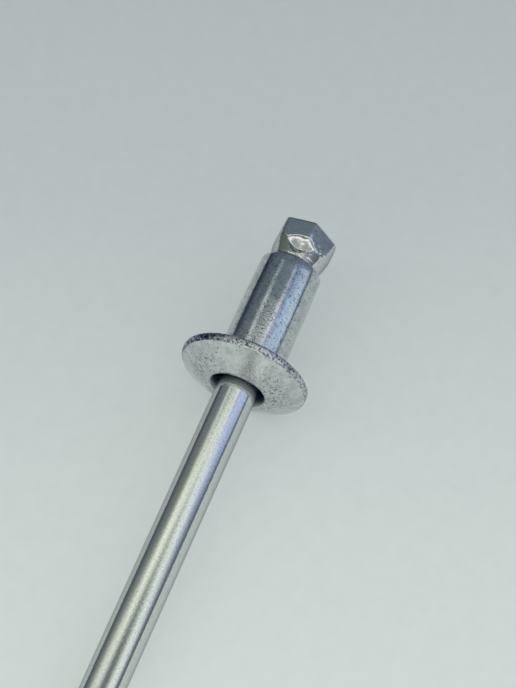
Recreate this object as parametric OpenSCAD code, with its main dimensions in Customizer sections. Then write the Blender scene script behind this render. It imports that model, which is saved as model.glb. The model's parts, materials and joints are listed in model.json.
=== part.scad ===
// Open-end blind rivet, unset, lying on a flat surface.
// It rests on the rim of its flange and on the shoulder of the mandrel's tail point.
// Heights along the rivet are counted from the seat, which is the flange's underside:
// plus is towards the mandrel's head, minus is towards its tail.

/* [Shank] */
// Outside diameter of the shank
shank_d = 3.2; // [2.6:0.05:4]
// Length of the shank, from the seat to its far end
shank_l = 6.05; // [4:0.05:12]
// Length of the lead-in, the last stretch of the shank, which narrows a little
lead_in_l = 2.4; // [0.5:0.1:3.5]
// How much smaller the shank's diameter is at the end of the lead-in
lead_in_drop = 0.09; // [0.01:0.01:0.3]
// Rounding of the shank's outer corner at its far end
shank_end_round = 0.16; // [0.03:0.01:0.25]

/* [Flange] */
// Outside diameter of the flange
flange_d = 6.4; // [5.2:0.1:8]
// Thickness of the flange at its rim
rim_t = 0.32; // [0.25:0.01:0.5]
// Rounding of both edges of the rim
rim_round = 0.07; // [0.02:0.01:0.1]
// Height of the whole flange, from the seat to the edge of the hole's mouth
flange_h = 1.22; // [1.1:0.01:1.6]
// Radius of the flange's domed face, seen in section
dome_r = 10; // [6:0.5:20]
// Rounding in the corner between the shank and the seat
seat_fillet = 0.1; // [0.03:0.01:0.15]

/* [Hole] */
// Diameter of the hole's mouth in the domed face
mouth_d = 3.05; // [2.7:0.05:3.7]
// Depth of the mouth's taper, from the domed face down to the straight bore
mouth_depth = 0.9; // [0.5:0.05:1.05]
// Rounding of the mouth's lip
lip_round = 0.1; // [0.04:0.01:0.15]
// Clearance between the mandrel and the bore, on each side
bore_clear = 0.03; // [0.01:0.01:0.1]

/* [Mandrel] */
// Diameter of the mandrel's stem
mandrel_d = 2; // [1.65:0.05:2.4]
// Length of stem that stands out of the hole's mouth, tail point included
tail_out = 25.5; // [18:0.5:40]
// Length of the tail's blunt point
tail_point_l = 0.7; // [0.3:0.1:1.5]
// Diameter of the tail's flat end
tail_point_d = 1.2; // [0.8:0.05:1.5]
// Width across the square waist of the break neck, which is hidden in the bore
waist_af = 1.3; // [0.9:0.05:1.55]
// Length of each notch of the break neck, along the stem
waist_l = 0.8; // [0.4:0.1:1.5]
// Distance of the break neck from the shank's far end, inside the bore
waist_in = 0.9; // [0.5:0.1:2]

/* [Mandrel head] */
// How far the head's corners stay inside the shank's surface, so that both pass one hole
head_inset = 0.07; // [0.02:0.01:0.15]
// Length of the head, from the shank's far end to its own end
head_h = 2.17; // [1.9:0.01:2.6]
// Diameter of the neck under the head, where it bears on the shank's end
neck_d = 2.46; // [2.2:0.02:2.7]
// Height of the neck
neck_h = 0.45; // [0.3:0.01:0.6]
// Height of the flare from the neck to the head's full width
flare_h = 0.75; // [0.5:0.01:0.9]
// Chamfer around the head's end
head_chamfer = 0.1; // [0.02:0.01:0.2]
// Slope of the low side of the head's end, in degrees
end_slope = 10; // [2:1:20]
// Distance from the axis at which the low side of the end begins
end_slope_out = 0.2; // [0:0.05:0.8]
// Depth of the six flats around the head, where they are shallowest
hex_depth = 0.12; // [0.05:0.01:0.2]
// Lean of the six flats towards the head's end, in degrees
hex_lean = 4; // [0:0.5:6]
// Turn of the six flats about the rivet's axis, in degrees
hex_turn = 20; // [0:1:59]
// Height over the shank's end of the pinch notches' deepest line
pinch_h = 0.7; // [0.6:0.01:0.9]
// Distance of that line from the rivet's axis
pinch_out = 1.16; // [1.1:0.01:1.3]
// Lean of a notch's upper side, towards the head's end, in degrees
pinch_lean = 30; // [20:1:40]
// Lean of a notch's lower side, towards the shank, in degrees
pinch_foot_lean = 20; // [12:1:40]
// Turn of the pinch notches about the rivet's axis, in degrees
pinch_turn = 10; // [0:1:89]

/* [Hidden] */
$fn = 96;
steel_dark = [0.56, 0.59, 0.61];
steel_light = [0.67, 0.69, 0.69];

shank_r = shank_d / 2;
shank_end_r = shank_r - lead_in_drop / 2;
flange_r = flange_d / 2;
mouth_r = mouth_d / 2;
mandrel_r = mandrel_d / 2;
bore_r = mandrel_r + bore_clear;
head_r = shank_r - head_inset;
neck_r = neck_d / 2;
tail_z = -flange_h - tail_out;
shoulder_z = tail_z + tail_point_l;
head_end_z = shank_l + head_h;
hex_step = 360 / 6;
// How far cutting shapes run on past the faces they cut
overshoot = 1;

// Centre of the dome's arc, which runs from the rim's edge to the edge of the mouth.
rim_edge = [flange_r, -rim_t];
mouth_edge = [mouth_r, -flange_h];
dome_chord = mouth_edge - rim_edge;
dome_side = [dome_chord[1], -dome_chord[0]] / norm(dome_chord);
dome_rise = sqrt(pow(dome_r, 2) - pow(norm(dome_chord) / 2, 2));
dome_centre = (rim_edge + mouth_edge) / 2 + dome_side * dome_rise;

// Centre of the rounding between the rim and the dome. It touches both from inside.
rim_in = flange_r - rim_round;
rim_reach = sqrt(pow(dome_r - rim_round, 2) - pow(rim_in - dome_centre[0], 2));
rim_centre = [rim_in, dome_centre[1] - rim_reach];

// Centre of the lip's rounding. It touches the mouth's tapered wall and the dome.
bore_edge = [bore_r, -flange_h + mouth_depth];
wall_dir = (bore_edge - mouth_edge) / norm(bore_edge - mouth_edge);
wall_out = [wall_dir[1], -wall_dir[0]];
lip_base = mouth_edge + wall_out * lip_round - dome_centre;
lip_along = lip_base * wall_dir;
lip_gap = lip_base * lip_base - pow(dome_r - lip_round, 2);
lip_step = -lip_along - sqrt(pow(lip_along, 2) - lip_gap);
lip_shift = abs(lip_step) < abs(-2 * lip_along - lip_step) ? lip_step : -2 * lip_along - lip_step;
lip_centre = dome_centre + lip_base + wall_dir * lip_shift;

// Rest pose: the angle by which the axis rises towards the head when the rim's rounding and
// the shoulder of the tail point lie on the surface, and the seat's height over the surface.
rest_run = rim_centre[1] - shoulder_z;
rest_drop = rim_centre[0] - mandrel_r;
rest_angle = atan2(rest_drop, rest_run) + asin(rim_round / norm([rest_run, rest_drop]));
seat_height = mandrel_r * cos(rest_angle) - shoulder_z * sin(rest_angle);
low_x = tail_z * cos(rest_angle) - tail_point_d / 2 * sin(rest_angle);
high_x = head_end_z * cos(rest_angle) + (head_r - head_chamfer) * sin(rest_angle);

// Lays a piece that is drawn upright on the surface, its head towards +X, and puts the
// middle of the whole rivet over the origin.
module laid_down() {
    translate([-(low_x + high_x) / 2, 0, seat_height])
        rotate([0, 90 - rest_angle, 0])
            children();
}

// The piece of a corner that its rounding takes away. The corner lies at `corner`, and its
// rounding of radius r about `centre` touches the two sides at `from` and `to`.
module rounded_off(corner, centre, r, from, to) {
    past = corner + (corner - centre) / norm(corner - centre) * r;
    difference() {
        polygon([centre, from, past, to]);
        translate(centre)
            circle(r);
    }
}

module flange_section() {
    rim_dome_touch = rim_centre + (rim_centre - dome_centre) / norm(rim_centre - dome_centre) * rim_round;
    difference() {
        intersection() {
            translate([0, -flange_d])
                square([flange_r, flange_d]);
            translate(dome_centre)
                circle(dome_r, $fn = 360);
        }
        rounded_off(rim_edge, rim_centre, rim_round, [flange_r, rim_centre[1]], rim_dome_touch);
        rounded_off([flange_r, 0], [rim_in, -rim_round], rim_round, [rim_in, 0], [flange_r, -rim_round]);
    }
}

module shank_section() {
    end_in = shank_end_r - shank_end_round;
    end_low = shank_l - shank_end_round;
    difference() {
        polygon([
            [0, -rim_t],
            [shank_r, -rim_t],
            [shank_r, shank_l - lead_in_l],
            [shank_end_r, end_low],
            [shank_end_r, shank_l],
            [0, shank_l]
        ]);
        rounded_off([shank_end_r, shank_l], [end_in, end_low], shank_end_round,
            [end_in, shank_l], [shank_end_r, end_low]);
    }
}

// The fillet that fills the corner between the shank and the seat.
module seat_fillet_section() {
    difference() {
        translate([shank_r - seat_fillet, -seat_fillet])
            square(2 * seat_fillet);
        translate([shank_r + seat_fillet, seat_fillet])
            circle(seat_fillet);
    }
}

// The tapered mouth and the straight bore.
module hole_section() {
    open = mouth_edge - wall_dir * flange_h;
    polygon([
        [0, open[1]],
        open,
        bore_edge,
        [bore_r, shank_l + overshoot],
        [0, shank_l + overshoot]
    ]);
}

module rivet_body() {
    lip_wall_touch = lip_centre - wall_out * lip_round;
    lip_dome_touch = lip_centre + (lip_centre - dome_centre) / norm(lip_centre - dome_centre) * lip_round;
    color(steel_dark)
        laid_down()
            rotate_extrude()
                difference() {
                    union() {
                        flange_section();
                        shank_section();
                        seat_fillet_section();
                    }
                    hole_section();
                    rounded_off(mouth_edge, lip_centre, lip_round, lip_wall_touch, lip_dome_touch);
                }
}

// A block whose inner face is a flat cut. The face is `out` from the axis at height z, and
// leans towards the axis with height.
module flat_cut(turn, out, z, lean) {
    rotate([0, 0, turn])
        translate([out, 0, z])
            rotate([0, -lean, 0])
                translate([0, -shank_d, -head_h])
                    cube([shank_d, 2 * shank_d, 2 * head_h]);
}

// One pinch notch under the head: a wedge whose edge is the notch's deepest line.
module pinch_notch(turn) {
    rise = head_h;
    drop = pinch_h + overshoot;
    out = pinch_out + rise * tan(pinch_lean);
    rotate([0, 0, turn])
        translate([0, shank_d, shank_l + pinch_h])
            rotate([90, 0, 0])
                linear_extrude(2 * shank_d)
                    polygon([
                        [pinch_out, 0],
                        [out, rise],
                        [out, -drop],
                        [pinch_out + drop * tan(pinch_foot_lean), -drop]
                    ]);
}

// The block that takes the low side of the head's end away.
module end_slope_cut() {
    rotate([0, 0, hex_turn - 97])
        translate([end_slope_out, 0, head_end_z])
            rotate([0, end_slope, 0])
                translate([-overshoot, -shank_d, 0])
                    cube([2 * shank_d, 2 * shank_d, head_h]);
}

// The upset head: a neck that flares to a short barrel, with six flats around it, two pinch
// notches under it and an end that drops to one side.
module mandrel_head() {
    difference() {
        rotate_extrude()
            polygon([
                [0, shank_l],
                [neck_r, shank_l],
                [neck_r, shank_l + neck_h],
                [head_r, shank_l + neck_h + flare_h],
                [head_r, head_end_z - head_chamfer],
                [head_r - head_chamfer, head_end_z],
                [0, head_end_z]
            ]);
        for (k = [0:5])
            flat_cut(hex_turn + hex_step * (k + 0.5), head_r - hex_depth, shank_l + neck_h, hex_lean);
        for (k = [0:1])
            pinch_notch(pinch_turn + 180 * k);
        end_slope_cut();
    }
}

// The stem with its blunt tail point, up into the head.
module stem() {
    rotate_extrude()
        polygon([
            [0, tail_z],
            [tail_point_d / 2, tail_z],
            [mandrel_r, shoulder_z],
            [mandrel_r, shank_l + head_h / 2],
            [0, shank_l + head_h / 2]
        ]);
}

// One V notch of the break neck, from the waist out to `wide` times the notch's depth, which is
// past the stem's surface.
module waist_notch(turn) {
    waist_r = waist_af / 2;
    wide = 1.5;
    rotate([0, 0, turn])
        translate([0, mandrel_d, shank_l - waist_in])
            rotate([90, 0, 0])
                linear_extrude(2 * mandrel_d)
                    polygon([
                        [waist_r, 0],
                        [waist_r + (mandrel_r - waist_r) * wide, waist_l / 2 * wide],
                        [waist_r + (mandrel_r - waist_r) * wide, -waist_l / 2 * wide]
                    ]);
}

module mandrel() {
    color(steel_light)
        laid_down()
            difference() {
                union() {
                    stem();
                    mandrel_head();
                }
                for (k = [0:3])
                    waist_notch(pinch_turn + 90 * k);
            }
}

rivet_body();
mandrel();
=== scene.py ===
# Pop rivet: an unset 3.2 mm open-end blind rivet that lies on a pale table top.
import json
import math

import bmesh
import bpy
from mathutils import Matrix, Vector


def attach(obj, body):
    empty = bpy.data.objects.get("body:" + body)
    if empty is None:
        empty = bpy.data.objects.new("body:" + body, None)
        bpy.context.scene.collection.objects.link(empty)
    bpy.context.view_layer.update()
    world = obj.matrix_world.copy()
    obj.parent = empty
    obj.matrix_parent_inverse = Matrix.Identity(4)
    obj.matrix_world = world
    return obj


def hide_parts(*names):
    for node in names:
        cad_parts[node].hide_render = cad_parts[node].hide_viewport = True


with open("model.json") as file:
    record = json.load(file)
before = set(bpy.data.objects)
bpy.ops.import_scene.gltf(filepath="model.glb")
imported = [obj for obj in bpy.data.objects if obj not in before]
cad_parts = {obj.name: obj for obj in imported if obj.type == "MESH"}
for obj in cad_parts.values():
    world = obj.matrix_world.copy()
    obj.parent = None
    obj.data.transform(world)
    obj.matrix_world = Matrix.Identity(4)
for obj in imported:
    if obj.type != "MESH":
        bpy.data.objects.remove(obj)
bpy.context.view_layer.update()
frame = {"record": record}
scene = bpy.context.scene
scene.view_settings.view_transform = "Standard"
mm = 0.001

# The rivet's own frame, in which the pieces and patterns are laid out in millimetres: X up, Y to
# its right as seen from the tail, Z along it to the mandrel's head. It starts at the seat, which
# is the flange's underside.
mounts = {mount["name"]: mount for mount in frame["record"]["mounts"]}
along = Vector(mounts["shank"]["axis"]).normalized()
shankMiddle = Vector(mounts["shank"]["pos_m"])
seatPoint = shankMiddle + along * (Vector(mounts["seat"]["pos_m"]) - shankMiddle).dot(along)
right = Vector((0, -1, 0))
up = right.cross(along)
rivetTurn = Matrix((up, right, along)).transposed()
rivetFrame = Matrix.Translation(seatPoint) @ rivetTurn.to_4x4()


def linearColour(hexColour):
    parts = [int(hexColour[i:i + 2], 16) / 255 for i in (0, 2, 4)]
    return [c / 12.92 if c <= 0.04045 else ((c + 0.055) / 1.055) ** 2.4 for c in parts] + [1.0]


def fillRamp(ramp, stops):
    while len(ramp.elements) < len(stops):
        ramp.elements.new(0.5)
    for element, (place, colour) in zip(ramp.elements, stops):
        element.position = place
        element.color = linearColour(colour) if isinstance(colour, str) else [colour] * 3 + [1]


def addNode(tree, kind, settings=None, links=None):
    node = tree.nodes.new("ShaderNode" + kind)
    for name, value in (settings or {}).items():
        if name == "stops":  # a colour ramp's places, with hex colours or grey levels
            fillRamp(node.color_ramp, value)
        elif isinstance(name, int) or name in node.inputs:
            node.inputs[name].default_value = value
        else:
            setattr(node, name, value)
    for name, source in (links or {}).items():  # from a socket, or from a node's first output
        socket = source if isinstance(source, bpy.types.NodeSocket) else source.outputs[0]
        tree.links.new(socket, node.inputs[name])
    return node


camera = {"lens": 151.6,
          "fromSeat": (-71.9, -28.75, 114.05),  # millimetres
          "turn": (34.715, -0.083, -68.522)}  # degrees
cameraData = bpy.data.cameras.new("camera")
cameraData.lens = camera["lens"]
cameraData.clip_start = 0.005
cameraObject = bpy.data.objects.new("camera", cameraData)
cameraObject.location = seatPoint + Vector(camera["fromSeat"]) * mm
cameraObject.rotation_euler = [math.radians(a) for a in camera["turn"]]
scene.collection.objects.link(cameraObject)
scene.camera = cameraObject
print("camera placed")

# The studio is a dome of soft bands, as light boxes and flags give, turned to lie along the rivet.
studio = {
    "axisTurn": 13.5,  # degrees from straight up to the dome's zero, towards the rivet's right
    # Each ring lies at one share of a direction that points along the rivet, from -1 at the tail to
    # 1 at the head. It has that share, its level, and its colours by the degrees around.
    "rings": [
        (-0.992, 1.0, [(-140, "74797e"), (0, "80858a"), (140, "74797e")]),
        (-0.978, 1.4, [(-140, "585e62"), (-90, "70767a"), (-72, "989e9a"), (-64, "e8ece6"),
                       (64, "e8ece6"), (72, "989e9a"), (90, "70767a"), (140, "585e62")]),
        (-0.75, 1.0, [(-140, "70767a"), (-95, "70767a"), (-60, "c8ceca"), (0, "d0d6d2"),
                      (60, "c8ccd0"), (90, "70767a"), (140, "70767a")]),
        (-0.50, 1.0, [(-140, "70767a"), (-95, "60666a"), (-65, "c6cac6"), (-50, "bec2bc"),
                      (-35, "a8aea8"), (0, "a4aaa6"), (30, "b4b8b6"), (45, "e4e8e4"),
                      (68, "dce0e0"), (80, "60686e"), (140, "808890")]),
        (-0.42, 1.0, [(-140, "70767a"), (-95, "60666a"), (-65, "c8ccc6"), (-50, "c0c4bc"),
                      (-35, "acb0a8"), (0, "a8aea6"), (30, "b8bcb8"), (45, "e8ece6"),
                      (68, "dce0e0"), (80, "60686e"), (140, "808890")]),
        # a white box overhead
        (-0.31, 1.12, [(-140, "60686e"), (-100, "50565a"), (-75, "a8aeaa"), (-55, "ffffff"),
                       (50, "ffffff"), (68, "9098a0"), (80, "505860"), (140, "707880")]),
        (-0.14, 1.12, [(-140, "60686e"), (-100, "50565a"), (-75, "a8aeaa"), (-55, "ffffff"),
                       (50, "ffffff"), (68, "9098a0"), (80, "505860"), (140, "707880")]),
        (-0.04, 1.0, [(-140, "70787e"), (-103, "5c6468"), (-70, "6c7470"), (-40, "7e8276"),
                      (-24, "98a094"), (-8, "c4c8bc"), (12, "c4c8c0"), (24, "a0a4aa"),
                      (40, "8c90a0"), (55, "788094"), (66, "70787c"), (80, "60686e"),
                      (140, "909699")]),
        (0.16, 1.0, [(-140, "70787e"), (-103, "5c6468"), (-70, "6c7470"), (-40, "868a7c"),
                     (-28, "9c9eb0"), (-12, "c4c8c0"), (2, "f6f8f0"), (12, "f2f4ee"),
                     (24, "b4b6c4"), (40, "b0b0c8"), (55, "8088a0"), (66, "70787c"),
                     (80, "60686e"), (140, "909699")]),
        (0.28, 1.0, [(-140, "70787e"), (-103, "5c6468"), (-70, "6a706e"), (-40, "7c8078"),
                     (-28, "8a8c9c"), (-12, "c4c8c0"), (2, "f6f8f0"), (12, "f2f4ee"),
                     (24, "b4b6c4"), (40, "b0b0c8"), (55, "8088a0"), (66, "70787c"),
                     (80, "60686e"), (140, "909699")]),
        # two boxes with a dark gap, which the stem mirrors towards its tail
        (0.34, 1.15, [(-140, "687076"), (-115, "5a6268"), (-100, "565e64"), (-85, "6c7474"),
                      (-66, "a6aaa2"), (-52, "e4e8de"), (-34, "e8eee4"), (-21, "b4baba"),
                      (-9, "5c6266"), (0, "4c5254"), (9, "606664"), (19, "b4beb4"),
                      (29, "f0f8f0"), (47, "eef6f2"), (56, "c4cccc"), (63, "7c8286"),
                      (74, "646a70"), (82, "787e82"), (140, "868c90")]),
        (0.40, 1.3, [(-140, "626a70"), (-115, "525a60"), (-100, "4c525a"), (-80, "62686c"),
                     (-60, "6e7470"), (-48, "9aa096"), (-40, "d8dece"), (-30, "f4f8ea"),
                     (-18, "e4ead8"), (-6, "b4bab0"), (2, "bcc2b8"), (13, "e4ece2"),
                     (28, "e0e8e2"), (40, "b4bec6"), (52, "84909e"), (62, "687482"),
                     (78, "566068"), (82, "70787e"), (140, "80868a")]),
        # white in the middle and bluish window light to the right, which the stem mirrors by the flange
        (0.436, 1.3, [(-140, "5c666c"), (-112, "4a5258"), (-100, "3e464e"), (-84, "666e72"),
                      (-58, "707876"), (-46, "8e9690"), (-36, "b0b8b2"), (-24, "b4bcb6"),
                      (-16, "e4ece0"), (-6, "f4f8ee"), (4, "eaf0ea"), (12, "ccd6e0"),
                      (22, "b8c2e0"), (48, "a8b4e0"), (62, "a4b0da"), (69, "66728a"),
                      (80, "545e6a"), (140, "80868a")]),
        # two narrow streaks and the window, which the shank mirrors
        (0.458, 1.0, [(-140, "505c66"), (-112, "414e5a"), (-100, "303d4a"), (-88, "485662"),
                      (-78, "687581"), (-51, "66747e"), (-47, "8c9aa0"), (-43, "ffffff"),
                      (-38, "ffffff"), (-34, "8c9aa0"), (-28, "74828a"), (-10, "72828a"),
                      (3, "8c9aa2"), (8, "ffffff"), (14, "ffffff"), (18, "98a6be"),
                      (24, "8c9cb8"), (32, "c4dcff"), (50, "d4ecff"), (68, "e4faff"),
                      (73, "8898b6"), (78.5, "46546c"), (140, "80888c")]),
        (0.50, 1.0, [(-140, "505c66"), (-112, "414e5a"), (-100, "303d4a"), (-88, "4a5864"),
                     (-78, "66737d"), (-52, "6c7a80"), (-41, "bccad0"), (-32, "7e8d96"),
                     (-12, "82919a"), (5, "8e9ba8"), (12, "e0ecfc"), (20, "98a8c4"),
                     (32, "bcd4f8"), (50, "d4eaff"), (68, "dcecff"), (73, "8698ba"),
                     (78.5, "46546e"), (140, "80888e")]),
        # the room's dark end, past the head
        (0.55, 1.0, [(-140, "46525e"), (-110, "3c4854"), (-80, "5a6670"), (-48, "6e7d8a"),
                     (-10, "707f8c"), (20, "74849a"), (40, "7a8aa2"), (62, "8490a4"),
                     (74, "7a8698"), (140, "606878")]),
        (0.72, 1.0, [(-140, "3a444e"), (-100, "343e4a"), (-60, "56626c"), (-30, "78848c"),
                     (35, "7a8692"), (60, "647284"), (140, "464e58")]),
        (0.88, 1.0, [(-140, "343e48"), (-100, "3c444c"), (-60, "545c64"), (0, "646c74"),
                     (60, "586068"), (140, "464e58")]),
        (0.98, 1.0, [(-140, "343e48"), (-90, "3c444c"), (-50, "4c545c"), (50, "50585e"),
                     (90, "40484e"), (140, "343e48")]),
    ],
}
world = bpy.data.worlds.new("studioDome")
world.use_nodes = True
scene.world = world
tree = world.node_tree
tree.nodes.clear()
coordinates = addNode(tree, "TexCoord")
domeTurn = rivetTurn @ Matrix.Rotation(math.radians(studio["axisTurn"]), 3, "Z")
turned = addNode(tree, "Mapping", {"vector_type": "TEXTURE", "Rotation": domeTurn.to_euler()},
                 {"Vector": coordinates.outputs["Generated"]})
direction = addNode(tree, "SeparateXYZ", links={"Vector": turned})
around = addNode(tree, "Math", {"operation": "ARCTAN2"},
                 {0: direction.outputs["Y"], 1: direction.outputs["X"]})
aroundShare = addNode(tree, "MapRange", {"From Min": -math.pi, "From Max": math.pi}, {"Value": around})
dome, lastShare = None, None
for share, level, colours in studio["rings"]:
    ring = addNode(tree, "ValToRGB", {"stops": [((a + 180) / 360, c) for a, c in colours]},
                   {"Fac": aroundShare})
    lit = addNode(tree, "VectorMath", {"operation": "SCALE", "Scale": level}, {0: ring})
    if dome is None:
        dome = lit
    else:  # one ring flows softly into the next
        blend = addNode(tree, "MapRange", {"interpolation_type": "SMOOTHSTEP",
                                           "From Min": lastShare, "From Max": share},
                        {"Value": direction.outputs["Z"]})
        dome = addNode(tree, "Mix", {"data_type": "RGBA"}, {"Factor": blend, 6: dome, 7: lit}).outputs[2]
    lastShare = share
light = addNode(tree, "Background", links={"Color": dome})
addNode(tree, "OutputWorld", links={"Surface": light})
print("studio dome lit")


def arc(centre, radius, start, end, count):
    angles = [math.radians(start + (end - start) * i / count) for i in range(count + 1)]
    return [(centre[0] + radius * math.cos(a), centre[1] + radius * math.sin(a)) for a in angles]


def line(start, end, count):  # the points between two ends, without the ends
    return [(start[0] + (end[0] - start[0]) * i / count, start[1] + (end[1] - start[1]) * i / count)
            for i in range(1, count)]


def smoothCurve(points, count):  # a smooth line through all the points
    curve = []
    padded = [points[0]] + list(points) + [points[-1]]
    for a, b, c, d in zip(padded, padded[1:], padded[2:], padded[3:]):
        for i in range(count):
            t = i / count
            curve.append(tuple(b[k] + 0.5 * t * (c[k] - a[k] + t * (2 * a[k] - 5 * b[k] + 4 * c[k] - d[k]
                               + t * (3 * (b[k] - c[k]) + d[k] - a[k]))) for k in (0, 1)))
    return curve + [points[-1]]


def softMin(a, b, width):
    h = max(width - abs(a - b), 0) / width
    return min(a, b) - h * h * width / 4


def softMax(a, b, width):
    return -softMin(-a, -b, width)


def spinProfile(profile, steps, closed):  # profile: (radius, height along the rivet)
    bm = bmesh.new()
    corners = [bm.verts.new((radius, 0, height)) for radius, height in profile]
    edges = [bm.edges.new(pair) for pair in zip(corners, corners[1:])]
    if closed:
        edges.append(bm.edges.new((corners[-1], corners[0])))
    bmesh.ops.spin(bm, geom=corners + edges, axis=(0, 0, 1), cent=(0, 0, 0), steps=steps,
                   angle=math.tau, use_merge=True)
    bmesh.ops.remove_doubles(bm, verts=bm.verts, dist=1e-5)
    bmesh.ops.recalc_face_normals(bm, faces=bm.faces)
    return bm


def finishPiece(bm, name, materials, node):
    bm.transform(rivetFrame @ Matrix.Scale(mm, 4))
    mesh = bpy.data.meshes.new(name)
    bm.to_mesh(mesh)
    bm.free()
    mesh.shade_smooth()
    mesh.set_sharp_from_angle(angle=math.radians(30))  # keeps the pressed edges crisp
    for material in materials:
        mesh.materials.append(material)
    piece = bpy.data.objects.new(name, mesh)
    scene.collection.objects.link(piece)
    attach(piece, "root")
    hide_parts(node)
    print(name, "made with", len(mesh.polygons), "faces")


def newMaterial(name):
    material = bpy.data.materials.new(name)
    material.use_nodes = True
    material.node_tree.nodes.clear()
    return material, material.node_tree


def rivetPlace(tree):  # a surface point in the rivet's own frame, so every scale is per millimetre
    coordinates = addNode(tree, "TexCoord")
    return addNode(tree, "Mapping", {"vector_type": "TEXTURE", "Location": seatPoint,
                                     "Rotation": rivetTurn.to_euler(), "Scale": (mm, mm, mm)},
                   {"Vector": coordinates.outputs["Object"]})


body = {
    "shank": mounts["shank"]["dims"]["r_mm"],  # radius, as are the other widths
    "shankLength": 6.05, "leadIn": 2.4, "leadInDrop": 0.045, "endRound": 0.16,
    "flange": 3.19, "faceEdge": 3.2, "flangeHeight": 1.22, "seatFillet": 0.1,
    "rim": 0.32, "rimFront": 0.28, "rimBack": 0.09,  # the sheared rim: wall and roundings
    "rimShare": 0.62,  # how far over the front rounding the sheared steel starts
    "rimFromSeat": 0.02,  # and how far from the seat it ends
    "dome": 24.0, "mouth": 1.525, "mouthDepth": 0.9, "bore": 1.03,
    "lip": 0.22, "lipInside": 0.08,  # rounding, and how far inside the mouth's edge it lies
    "lipShare": 0.6,  # how far over the lip the dark bore starts
    "boreEdge": 0.02,  # the small bevel at the bore's far end
    "rings": [(1.68, 0.03, 0.002), (1.86, 0.04, 0.003)],  # coined rings: radius, width, depth
    "steps": 256,
    "plating": [(0.3, "bcbfc0"), (0.7, "dcdede")], "platingRoughness": 0.045, "chipColour": "50565c",
    "rimColours": [(0.36, "5c6070"), (0.46, "a4a7ae"), (0.58, "d4d6d6")],
    # the rim's left side gets a darker blue-black: painted shade
    "burntColours": [(0.40, "30364e"), (0.52, "5c6280"), (0.64, "c0c4cc")], "rimRoughness": 0.1,
    # painted light and shade, inwards: a painted highlight at the lip, painted shade deeper in
    "boreColours": [(0.0, "d0d4d4"), (0.15, "a8acb0"), (0.4, "5c6378"), (1.0, "4a5166")],  # inwards
    "boreRoughness": (0.35, 0.2),  # at the lip and inside
    # Patterns, as sizes in millimetres. Real tumbling marks are about 0.02 mm across, too fine to
    # show, so the grain is drawn nearly three times as coarse.
    "grain": 1 / 18, "grainAlong": 1 / 9,
    "grainDepth": (0.0052, 0.0022),  # by the flange and by the shank's far end
    "pit": 1 / 8, "pitDepth": 0.03,  # around the hole
    "coinedLine": 1 / 11, "coinedBreaks": 3.0, "coinedDepth": 0.06,  # breaks in a ring line per radian
    "chip": 1 / 4.5, "chipPatch": 1 / 3,  # spacing of the chips, and of the patches that have them
    "cloud": 1 / 2.2, "pepper": 1 / 9,  # in the plating
    "rimGrain": 1 / 9, "rimDepth": 0.02, "boreGrain": 1 / 8, "boreDepth": 0.02,  # torn steel
}


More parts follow.
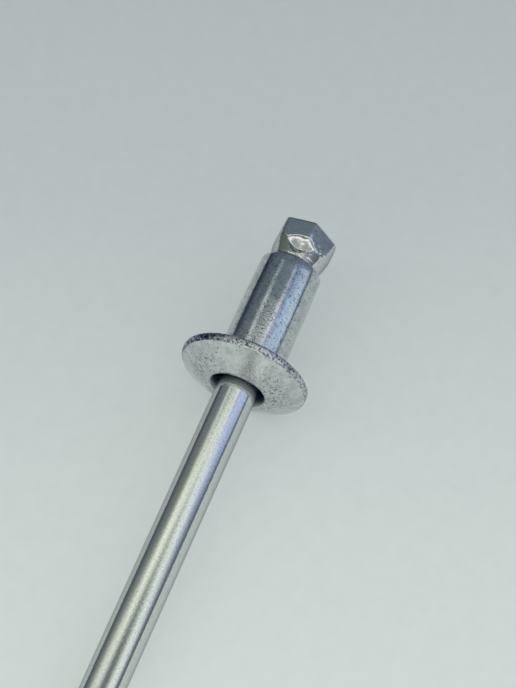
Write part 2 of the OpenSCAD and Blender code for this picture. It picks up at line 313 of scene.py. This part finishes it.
# Mild steel, cold headed, zinc plated and barrel tumbled: a bright, slightly cloudy mirror, broken
# up by fine lines along the shank, pits around the hole and dark chips in the plating.
def zincPlatedSteel():
    b = body
    material, tree = newMaterial("zincPlatedSteel")
    place = rivetPlace(tree)
    parts = addNode(tree, "SeparateXYZ", links={"Vector": place})
    # tumbling marks, drawn out along the shank and deeper towards the flange
    stretched = addNode(tree, "Mapping", {"Scale": (1 / b["grain"], 1 / b["grain"], 1 / b["grainAlong"])},
                        {"Vector": place})
    grain = addNode(tree, "TexNoise", {"Scale": 1.0, "Detail": 2.0, "Roughness": 0.6},
                    {"Vector": stretched})
    nearDepth, farDepth = b["grainDepth"]
    grainDepth = addNode(tree, "MapRange", {"From Min": 0.5, "From Max": 5.5, "To Min": nearDepth * mm,
                                            "To Max": farDepth * mm}, {"Value": parts.outputs["Z"]})
    grainBump = addNode(tree, "Bump", {"Strength": 1.0}, {"Height": grain, "Distance": grainDepth})
    # pits on the flange's face, most around the hole and hardly any on its top; the ranges are
    # heights from the seat and distances from the axis, in millimetres
    flat = addNode(tree, "Mapping", {"Scale": (1.0, 1.0, 0.0)}, {"Vector": place})
    radius = addNode(tree, "VectorMath", {"operation": "LENGTH"}, {0: flat}).outputs["Value"]
    onFlange = addNode(tree, "MapRange", {"From Min": -0.3, "From Max": -0.36},
                       {"Value": parts.outputs["Z"]})
    pitted = addNode(tree, "TexNoise", {"Scale": 1 / b["pit"], "Detail": 3.0, "Roughness": 0.7},
                     {"Vector": place})
    acrossFace = addNode(tree, "MapRange", {"From Min": 1.5, "From Max": 3.1}, {"Value": radius})
    pitRing = addNode(tree, "ValToRGB",
                      {"stops": [(0.0, 0.35), (0.12, 1.0), (0.5, 0.8), (0.75, 0.2), (1.0, 0.15)]},
                      {"Fac": acrossFace})
    sideways = addNode(tree, "Math", {"operation": "ABSOLUTE"}, {0: parts.outputs["Y"]})
    offTop = addNode(tree, "MapRange", {"From Min": 0.6, "From Max": 1.6, "To Min": 0.03},
                     {"Value": sideways})
    pitShare = addNode(tree, "Math", {"operation": "MULTIPLY"}, {0: pitRing, 1: onFlange})
    pitShare = addNode(tree, "Math", {"operation": "MULTIPLY"}, {0: pitShare, 1: offTop})
    pitHeight = addNode(tree, "Math", {"operation": "MULTIPLY"}, {0: pitted, 1: pitShare})
    pitBump = addNode(tree, "Bump", {"Strength": 1.0, "Distance": b["pitDepth"] * mm},
                      {"Height": pitHeight, "Normal": grainBump})
    # broken ring lines next to the hole, where the die coined the face
    turnAround = addNode(tree, "Math", {"operation": "ARCTAN2"},
                         {0: parts.outputs["Y"], 1: parts.outputs["X"]})
    polar = addNode(tree, "CombineXYZ", links={"X": radius, "Y": turnAround})
    ringed = addNode(tree, "Mapping", {"Scale": (1 / b["coinedLine"], b["coinedBreaks"], 1.0)},
                     {"Vector": polar})
    coined = addNode(tree, "TexNoise", {"Scale": 1.0, "Detail": 2.0, "Roughness": 0.6},
                     {"Vector": ringed})
    coinedHeight = addNode(tree, "MapRange", {"From Min": 2.5, "From Max": 1.9}, {"Value": radius})
    for factor in (offTop, coined, onFlange):
        coinedHeight = addNode(tree, "Math", {"operation": "MULTIPLY"}, {0: coinedHeight, 1: factor})
    coinedBump = addNode(tree, "Bump", {"Strength": 1.0, "Distance": b["coinedDepth"] * mm},
                         {"Height": coinedHeight, "Normal": pitBump})
    # dark specks where the plating is pitted or chipped
    pitColour = addNode(tree, "ValToRGB", {"stops": [(0.36, 1.0), (0.46, 0.25), (0.54, 0.0)]},
                        {"Fac": pitted})
    pitDark = addNode(tree, "Math", {"operation": "MULTIPLY"}, {0: pitColour, 1: pitShare})
    chips = addNode(tree, "TexVoronoi", {"Scale": 1 / b["chip"], "Randomness": 1.0}, {"Vector": place})
    chipped = addNode(tree, "ValToRGB", {"stops": [(0.0, 1.0), (0.13, 0.9), (0.2, 0.0)]},
                      {"Fac": chips})
    patches = addNode(tree, "TexNoise", {"Scale": 1 / b["chipPatch"], "Detail": 1.0}, {"Vector": place})
    inPatch = addNode(tree, "ValToRGB", {"stops": [(0.46, 0.0), (0.5, 1.0)]}, {"Fac": patches})
    speck = addNode(tree, "Math", {"operation": "MULTIPLY"}, {0: chipped, 1: inPatch})
    dark = addNode(tree, "Math", {"operation": "MAXIMUM"}, {0: speck, 1: pitDark})
    # cloudy plating with a fine peppering, which the flange has little of
    cloud = addNode(tree, "TexNoise", {"Scale": 1 / b["cloud"], "Detail": 3.0, "Roughness": 0.6},
                    {"Vector": place})
    plating = addNode(tree, "ValToRGB", {"stops": b["plating"]}, {"Fac": cloud})
    salt = addNode(tree, "TexNoise", {"Scale": 1 / b["pepper"], "Detail": 1.0, "Roughness": 0.6},
                   {"Vector": place})
    pepper = addNode(tree, "ValToRGB", {"stops": [(0.3, 0.45), (0.37, 0.93), (0.6, 1.0)]},
                     {"Fac": salt})
    onShank = addNode(tree, "MapRange", {"From Min": -0.36, "From Max": -0.3, "To Min": 0.15},
                      {"Value": parts.outputs["Z"]})
    grainy = addNode(tree, "Mix", {"data_type": "RGBA", "blend_type": "MULTIPLY"},
                     {"Factor": onShank, 6: plating, 7: pepper}).outputs[2]
    colour = addNode(tree, "Mix", {"data_type": "RGBA", 7: linearColour(b["chipColour"])},
                     {"Factor": dark, 6: grainy}).outputs[2]
    shader = addNode(tree, "BsdfPrincipled", {"Metallic": 1.0, "Roughness": b["platingRoughness"]},
                     {"Base Color": colour, "Normal": coinedBump})
    addNode(tree, "OutputMaterial", links={"Surface": shader})
    return material


# The same steel where the flange was sheared from the blank: a torn, speckled rim, with painted
# shade along its left side, coloured blue-black.
def shearedSteel():
    b = body
    material, tree = newMaterial("shearedRim")
    place = rivetPlace(tree)
    grain = addNode(tree, "TexNoise", {"Scale": 1 / b["rimGrain"], "Detail": 3.0, "Roughness": 0.7},
                    {"Vector": place})
    bump = addNode(tree, "Bump", {"Strength": 1.0, "Distance": b["rimDepth"] * mm}, {"Height": grain})
    pits = addNode(tree, "TexNoise", {"Scale": 1 / b["rimGrain"], "Detail": 2.0, "Roughness": 0.5},
                   {"Vector": place})
    speckled = addNode(tree, "ValToRGB", {"stops": b["rimColours"]}, {"Fac": pits})
    # painted shade: a blue-black tone mixed in along the rim's left side
    paintedLeftShade = addNode(tree, "ValToRGB", {"stops": b["burntColours"]}, {"Fac": pits})
    parts = addNode(tree, "SeparateXYZ", links={"Vector": place})
    leftSide = addNode(tree, "MapRange", {"interpolation_type": "SMOOTHSTEP", "From Min": -0.6,
                                          "From Max": -1.9}, {"Value": parts.outputs["Y"]})
    colour = addNode(tree, "Mix", {"data_type": "RGBA"}, {"Factor": leftSide, 6: speckled, 7: paintedLeftShade})
    shader = addNode(tree, "BsdfPrincipled", {"Metallic": 1.0, "Roughness": b["rimRoughness"]},
                     {"Normal": bump, "Base Color": colour.outputs[2]})
    addNode(tree, "OutputMaterial", links={"Surface": shader})
    return material


# The punched bore: pale and matt at the lip, a painted highlight, and soon dark inside, painted shade in the
# recess.
def boreSteel():
    b = body
    material, tree = newMaterial("darkBore")
    place = rivetPlace(tree)
    grain = addNode(tree, "TexNoise", {"Scale": 1 / b["boreGrain"], "Detail": 3.0, "Roughness": 0.7},
                    {"Vector": place})
    bump = addNode(tree, "Bump", {"Strength": 1.0, "Distance": b["boreDepth"] * mm}, {"Height": grain})
    parts = addNode(tree, "SeparateXYZ", links={"Vector": place})
    inside = addNode(tree, "MapRange", {"From Min": -1.15, "From Max": -0.3}, {"Value": parts.outputs["Z"]})
    lipRough, insideRough = b["boreRoughness"]
    rough = addNode(tree, "MapRange", {"From Min": -1.1, "From Max": -0.7, "To Min": lipRough,
                                       "To Max": insideRough}, {"Value": parts.outputs["Z"]})
    # painted highlight at the lip and painted shade inside, by depth
    colour = addNode(tree, "ValToRGB", {"stops": b["boreColours"]}, {"Fac": inside})
    shader = addNode(tree, "BsdfPrincipled", {"Metallic": 1.0},
                     {"Normal": bump, "Base Color": colour, "Roughness": rough})
    addNode(tree, "OutputMaterial", links={"Surface": shader})
    return material


def makeRivetBody():
    b = body
    faceEdge, mouthEdge = Vector((b["faceEdge"], -b["rim"])), Vector((b["mouth"], -b["flangeHeight"]))
    chord = mouthEdge - faceEdge
    outwards = Vector((chord.y, -chord.x)).normalized()
    dome = (faceEdge + mouthEdge) / 2 + outwards * math.sqrt(b["dome"] ** 2 - (chord.length / 2) ** 2)
    # rim: a rounding that meets the dome from inside
    frontX = b["flange"] - b["rimFront"]
    front = Vector((frontX, dome.y - math.sqrt((b["dome"] - b["rimFront"]) ** 2 - (frontX - dome.x) ** 2)))
    frontTouch = math.degrees(math.atan2(front.y - dome.y, front.x - dome.x))
    # lip: a rounding that meets the dome and the mouth's taper
    boreEnd = -b["flangeHeight"] + b["mouthDepth"]
    lipEdge = mouthEdge + chord.normalized() * b["lipInside"]
    taper = (Vector((b["bore"], boreEnd)) - lipEdge).normalized()
    wallOut = Vector((taper.y, -taper.x))
    base = lipEdge + wallOut * b["lip"] - dome
    half = base.dot(taper)  # it touches both at two places along the taper; the nearer one is wanted
    step = -half - math.sqrt(half ** 2 - (base.dot(base) - (b["dome"] - b["lip"]) ** 2))
    if abs(step) > abs(-2 * half - step):
        step = -2 * half - step
    lip = dome + base + taper * step
    lipTouch = math.degrees(math.atan2(lip.y - dome.y, lip.x - dome.x))
    lipWall = math.degrees(math.atan2(-wallOut.y, -wallOut.x))
    if lipWall >= lipTouch:
        lipWall -= 360
    # the section, from the lip over the face, rim, seat, shank and bore back to the lip
    profile = arc(lip, b["lip"], lipWall, lipTouch, 8)
    for radius, height in arc(dome, b["dome"], lipTouch, frontTouch, 96)[1:-1]:
        groove = sum(depth * math.exp(-((radius - place) / width) ** 2) for place, width, depth in b["rings"])
        profile.append((radius, height + groove))
    profile += arc(front, b["rimFront"], frontTouch, 0, 14)
    profile += arc((b["flange"] - b["rimBack"], -b["rimBack"]), b["rimBack"], 0, 90, 6)
    fillet = b["shank"] + b["seatFillet"]
    profile += line((b["flange"] - b["rimBack"], 0), (fillet, 0), 4)
    profile += arc((fillet, b["seatFillet"]), b["seatFillet"], 270, 180, 6)
    leadIn = (b["shank"], b["shankLength"] - b["leadIn"])
    profile += line((b["shank"], b["seatFillet"]), leadIn, 8) + [leadIn]
    endRadius, endLow = b["shank"] - b["leadInDrop"], b["shankLength"] - b["endRound"]
    profile += line(leadIn, (endRadius, endLow), 6)
    profile += arc((endRadius - b["endRound"], endLow), b["endRound"], 0, 90, 8)
    endBore = (b["bore"] + b["boreEdge"], b["shankLength"])
    profile += line((endRadius - b["endRound"], b["shankLength"]), endBore, 4) + [endBore]
    boreTop = (b["bore"], b["shankLength"] - b["boreEdge"])
    profile += [boreTop] + line(boreTop, (b["bore"], boreEnd), 10) + [(b["bore"], boreEnd)]
    profile += line((b["bore"], boreEnd), profile[0], 6)
    bm = spinProfile(profile, b["steps"], True)
    boreRadius = lip.x - b["lipShare"] * b["lip"]
    rimRadius = front.x + b["rimShare"] * b["rimFront"]
    for face in bm.faces:
        middle = face.calc_center_median()
        radius = math.hypot(middle.x, middle.y)
        if radius < boreRadius and middle.z < b["shankLength"] - b["boreEdge"] / 2:
            face.material_index = 2
        elif radius > rimRadius and middle.z < -b["rimFromSeat"]:
            face.material_index = 1
    finishPiece(bm, "rivetBody", [zincPlatedSteel(), shearedSteel(), boreSteel()], "rivet_body")


stemSize = mounts["pull_stem"]["dims"]
mandrel = {
    "stem": stemSize["r_mm"],  # radius, as are the other widths
    "shoulder": -body["flangeHeight"] - stemSize["length_mm"], "pointLength": 0.7, "point": 0.6,
    "headStart": body["shankLength"], "headHeight": 2.17, "endRound": 0.12,
    "headShift": (0.07, 0.4),  # the head sits off the axis: how far, and over which height
    # (height over the shank's end, radius) of the head's side
    "headSide": [(0.0, 1.36), (0.05, 1.295), (0.11, 1.26), (0.18, 1.255), (0.28, 1.27), (0.45, 1.31),
                 (0.63, 1.36), (0.9, 1.43), (1.15, 1.49), (1.6, 1.53)],
    # six uneven flats: turn, distance from the axis at their foot, lean towards the end
    "flats": [(-8, 1.42, 4.2), (47, 1.39, 4.2), (112, 1.5, 2), (170, 1.4, 4), (-130, 1.4, 4),
              (-75, 1.4, 4)],
    "flatStart": 0.6, "flatSoft": 0.07,
    "pinches": [(7, 30.5), (187, 30.5)],  # oval hollows: turn, half the width in degrees
    "pinchMiddle": 0.89, "pinchFall": 0.07,  # height, and how that falls to the right
    "pinchHalf": 0.32,  # half the height
    "pinchLean": 36, "pinchEase": 0.3,  # lean of the upper side, and how gently it begins
    "pinchFoot": 30,  # lean of the ledge under it
    # the end drops towards the right: turn, distance from the axis where that starts, slope
    "endDrop": (103, 0.2, 0.18), "dropHeight": 0.7, "dropSoft": 0.2,
    # the break neck in the bore: half its width, length, depth inside, turn
    "waist": 0.65, "waistLength": 0.8, "waistInside": 0.9, "waistTurn": 10,
    "pointBevel": 0.05,
    "steps": 384,
    "wireColours": [(0.34, "c8caca"), (0.46, "d8dad8"), (0.66, "dee0de")], "wireRoughness": 0.08,
    # Patterns, as sizes in millimetres. Real drawing lines are about 0.02 mm apart, too fine to
    # show, so they are drawn more than twice as coarse.
    "drawnLine": 1 / 20, "drawnAlong": 1 / 6,
    "drawnDepth": (0.0018, 0.0005),  # on the stem and on the head
    "dent": 1 / 3, "dentDepth": 0.014,  # all over the head
    "tear": 1 / 5, "tearDepth": 0.014,  # at its neck and in its hollows
    "cloud": 1 / 11,
}


# Cold-drawn steel wire, bright from the die: a clear mirror with faint lines along it. The head is
# the same wire upset and pinched in the heading dies, which leaves it softly dented.
def drawnSteelWire():
    m = mandrel
    material, tree = newMaterial("drawnSteelWire")
    place = rivetPlace(tree)
    parts = addNode(tree, "SeparateXYZ", links={"Vector": place})
    onHead = addNode(tree, "MapRange", {"From Min": 6.0, "From Max": 6.5}, {"Value": parts.outputs["Z"]})
    lines = addNode(tree, "Mapping", {"Scale": (1 / m["drawnLine"], 1 / m["drawnLine"], 1 / m["drawnAlong"])},
                    {"Vector": place})
    drawn = addNode(tree, "TexNoise", {"Scale": 1.0, "Detail": 2.0, "Roughness": 0.6}, {"Vector": lines})
    stemDepth, headDepth = m["drawnDepth"]
    drawnDepth = addNode(tree, "MapRange", {"To Min": stemDepth * mm, "To Max": headDepth * mm},
                         {"Value": onHead})
    bump = addNode(tree, "Bump", {"Strength": 1.0}, {"Height": drawn, "Distance": drawnDepth})
    forged = addNode(tree, "TexNoise", {"Scale": 1 / m["dent"], "Detail": 1.0, "Roughness": 0.35},
                     {"Vector": place})
    forgedDepth = addNode(tree, "MapRange", {"To Min": 0.0, "To Max": m["dentDepth"] * mm},
                          {"Value": onHead})
    dents = addNode(tree, "Bump", {"Strength": 1.0},
                    {"Height": forged, "Distance": forgedDepth, "Normal": bump})
    # the neck and the hollows are the most uneven
    atNeck = addNode(tree, "MapRange", {"From Min": 7.45, "From Max": 7.15}, {"Value": parts.outputs["Z"]})
    torn = addNode(tree, "TexNoise", {"Scale": 1 / m["tear"], "Detail": 2.0, "Roughness": 0.5},
                   {"Vector": place})
    tornShare = addNode(tree, "Math", {"operation": "MULTIPLY"}, {0: atNeck, 1: onHead})
    tornDepth = addNode(tree, "MapRange", {"To Min": 0.0, "To Max": m["tearDepth"] * mm},
                        {"Value": tornShare})
    dents = addNode(tree, "Bump", {"Strength": 1.0},
                    {"Height": torn, "Distance": tornDepth, "Normal": dents})
    cloud = addNode(tree, "TexNoise", {"Scale": 1 / m["cloud"], "Detail": 2.0, "Roughness": 0.7},
                    {"Vector": place})
    colour = addNode(tree, "ValToRGB", {"stops": m["wireColours"]}, {"Fac": cloud})
    # the tint takes some light off where the wire is seen at a shallow angle, as a film of oil does
    shader = addNode(tree, "BsdfPrincipled", {"Metallic": 1.0, "Roughness": m["wireRoughness"],
                                              "Specular Tint": (0.55, 0.55, 0.57, 1.0)},
                     {"Normal": dents, "Base Color": colour})
    addNode(tree, "OutputMaterial", links={"Surface": shader})
    return material


def flatRadius(angle, turn, distance):
    facing = math.cos(angle - math.radians(turn))
    return distance / facing if facing > 0.1 else 99.0  # a flat doesn't reach the far side


def flattened(angle, height, radius):
    m = mandrel
    for turn, distance, lean in m["flats"]:
        distance -= (height - m["flatStart"]) * math.tan(math.radians(lean))
        radius = softMin(radius, flatRadius(angle, turn, distance), m["flatSoft"])
    return radius


def sideRadius(height):
    side = mandrel["headSide"]
    for (low, a), (high, b) in zip(side, side[1:]):
        if height <= high:
            return a + (b - a) * (height - low) / (high - low)
    return side[-1][1]


# the head's radius once the dies have pressed its flats and pinch hollows
def pressedRadius(angle, height, radius):
    m = mandrel
    radius = flattened(angle, height, radius)
    for turn, halfWidth in m["pinches"]:
        across = ((math.degrees(angle) - turn + 180) % 360 - 180) / halfWidth
        if abs(across) >= 1:
            continue
        half = m["pinchHalf"] * math.sqrt(1 - across * across)
        top = m["pinchMiddle"] - m["pinchFall"] * across + half
        if height >= top:
            continue
        down = min(top - height, 2 * half)
        pinched = flattened(angle, top, sideRadius(top))
        pinched -= math.tan(math.radians(m["pinchLean"])) * down * down / (down + m["pinchEase"])
        pinched += max(top - 2 * half - height, 0) * math.tan(math.radians(m["pinchFoot"]))
        radius = min(radius, pinched)
    return max(radius, m["stem"])


def makeMandrel():
    m = mandrel
    stem, start, end = m["stem"], m["headStart"], m["headStart"] + m["headHeight"]
    tail, shoulder = m["shoulder"] - m["pointLength"], m["shoulder"]
    waist = start - m["waistInside"]
    sideEnd, head = m["headSide"][-1]
    # the section, from the tail's point along the stem to the head's end
    pointEdge = (m["point"], tail + m["pointBevel"])
    shoulderIn, shoulderEdge = (stem - 0.02, shoulder - 0.03), (stem, shoulder + 0.03)
    waistLow, waistHigh = (stem, waist - 0.5), (stem, waist + 0.5)  # more rings around the break neck
    profile = [(0, tail), (m["point"] - m["pointBevel"], tail), pointEdge]
    profile += line(pointEdge, shoulderIn, 4) + [shoulderIn, shoulderEdge]
    profile += line(shoulderEdge, waistLow, 40) + [waistLow]
    profile += line(waistLow, waistHigh, 24) + [waistHigh, (stem, start)]
    profile += line((stem, start), (m["headSide"][0][1], start), 3)
    profile += [(radius, start + height) for height, radius in smoothCurve(m["headSide"], 8)]
    profile += line((head, start + sideEnd), (head, end - m["endRound"]), 16)
    profile += arc((head - m["endRound"], end - m["endRound"]), m["endRound"], 0, 90, 6)
    profile += line((head - m["endRound"], end), (0, end), 10) + [(0, end)]
    bm = spinProfile(profile, m["steps"], False)
    shift, shiftHeight = m["headShift"]
    dropTurn, dropStart, dropSlope = m["endDrop"]
    for vert in bm.verts:
        x, y, z = vert.co
        radius, angle = math.hypot(x, y), math.atan2(y, x)
        pressed = radius
        if z >= start and radius > stem:  # the head
            full = head if z - start > sideEnd else radius
            pressed = pressedRadius(angle, z - start, full)
            pressed = stem + (radius - stem) * (pressed - stem) / (full - stem)
        elif abs(z - waist) < m["waistLength"] / 2 + 0.01 and radius > 0.9 * stem:  # the break neck
            distance = m["waist"] + (stem - m["waist"]) * abs(z - waist) / (m["waistLength"] / 2)
            notches = [flatRadius(angle, m["waistTurn"] + quarter, distance) for quarter in (0, 90, 180, 270)]
            pressed = min([stem] + notches)
        if pressed != radius:
            vert.co.x, vert.co.y = x * pressed / radius, y * pressed / radius
        if z > end - m["dropHeight"]:
            out = vert.co.x * math.cos(math.radians(dropTurn)) + vert.co.y * math.sin(math.radians(dropTurn))
            drop = softMax(0, out - dropStart, m["dropSoft"]) * dropSlope
            vert.co.z -= drop * (z - end + m["dropHeight"]) / m["dropHeight"]
        if z >= start:
            share = min((z - start) / shiftHeight, 1)
            vert.co.y += shift * share * share * (3 - 2 * share)
    bmesh.ops.recalc_face_normals(bm, faces=bm.faces)
    finishPiece(bm, "mandrel_wire", [drawnSteelWire()], "mandrel")


makeRivetBody()
makeMandrel()

tableTop = {
    "size": 1.2,  # metres
    "turn": -21.5,  # degrees to the direction in which its light falls off
    # millimetres along that direction, colour: painted light falling off, with painted shade from -35 to -60
    # on the part beyond the view, which the metal mirrors
    "shades": [(-60, "969c98"), (-35, "d3dad5"), (-20, "d3dad5"), (1, "c8cfcc"), (22, "b4bcbc"),
               (40, "abb3b4")],
    "mottle": 1 / 1.1,  # size of its faint clouds, in millimetres
    "glow": 0.53,
}
bm = bmesh.new()
bmesh.ops.create_grid(bm, x_segments=1, y_segments=1, size=tableTop["size"] / 2)
floorMesh = bpy.data.meshes.new("tableTop")
bm.to_mesh(floorMesh)
bm.free()
floor = bpy.data.objects.new("tableTop", floorMesh)
scene.collection.objects.link(floor)

# Pale laminate, pressed and matt: a faintly mottled grey-green that takes a soft shadow, with painted light
# and shade across it.
floorMaterial, tree = newMaterial("paleLaminate")
coordinates = addNode(tree, "TexCoord")
place = addNode(tree, "Mapping", {"Rotation": (0, 0, math.radians(tableTop["turn"])),
                                  "Scale": (1 / mm, 1 / mm, 1 / mm)},
                {"Vector": coordinates.outputs["Object"]})
alongTable = addNode(tree, "SeparateXYZ", links={"Vector": place})
near, far = tableTop["shades"][0][0], tableTop["shades"][-1][0]
tableShare = addNode(tree, "MapRange", {"From Min": near, "From Max": far}, {"Value": alongTable})
# painted light and shade: the colour falls off along the table and turns grey beyond the view
shade = addNode(tree, "ValToRGB", {"stops": [((x - near) / (far - near), c) for x, c in tableTop["shades"]]},
                {"Fac": tableShare})
mottle = addNode(tree, "TexNoise", {"Scale": 1 / tableTop["mottle"], "Detail": 4.0, "Roughness": 0.65},
                 {"Vector": place})
mottled = addNode(tree, "ValToRGB", {"stops": [(0.35, 0.975), (0.65, 1.0)]}, {"Fac": mottle})
shade = addNode(tree, "Mix", {"data_type": "RGBA", "blend_type": "MULTIPLY", "Factor": 1.0},
                {6: shade, 7: mottled}).outputs[2]
laminate = addNode(tree, "BsdfPrincipled", {"Roughness": 0.6}, {"Base Color": shade})
# the backdrop's own brightness, for the camera, metal and glass
rays = addNode(tree, "LightPath").outputs
seen = addNode(tree, "Math", {"operation": "ADD"}, {0: rays["Is Camera Ray"], 1: rays["Is Glossy Ray"]})
seen = addNode(tree, "Math", {"operation": "ADD"}, {0: seen, 1: rays["Is Transmission Ray"]})
glow = addNode(tree, "Math", {"operation": "MULTIPLY", 1: tableTop["glow"]}, {0: seen})
backdrop = addNode(tree, "Emission", links={"Color": shade, "Strength": glow})
both = addNode(tree, "AddShader", links={0: laminate, 1: backdrop})
addNode(tree, "OutputMaterial", links={"Surface": both})
floorMesh.materials.append(floorMaterial)
print("table laid")
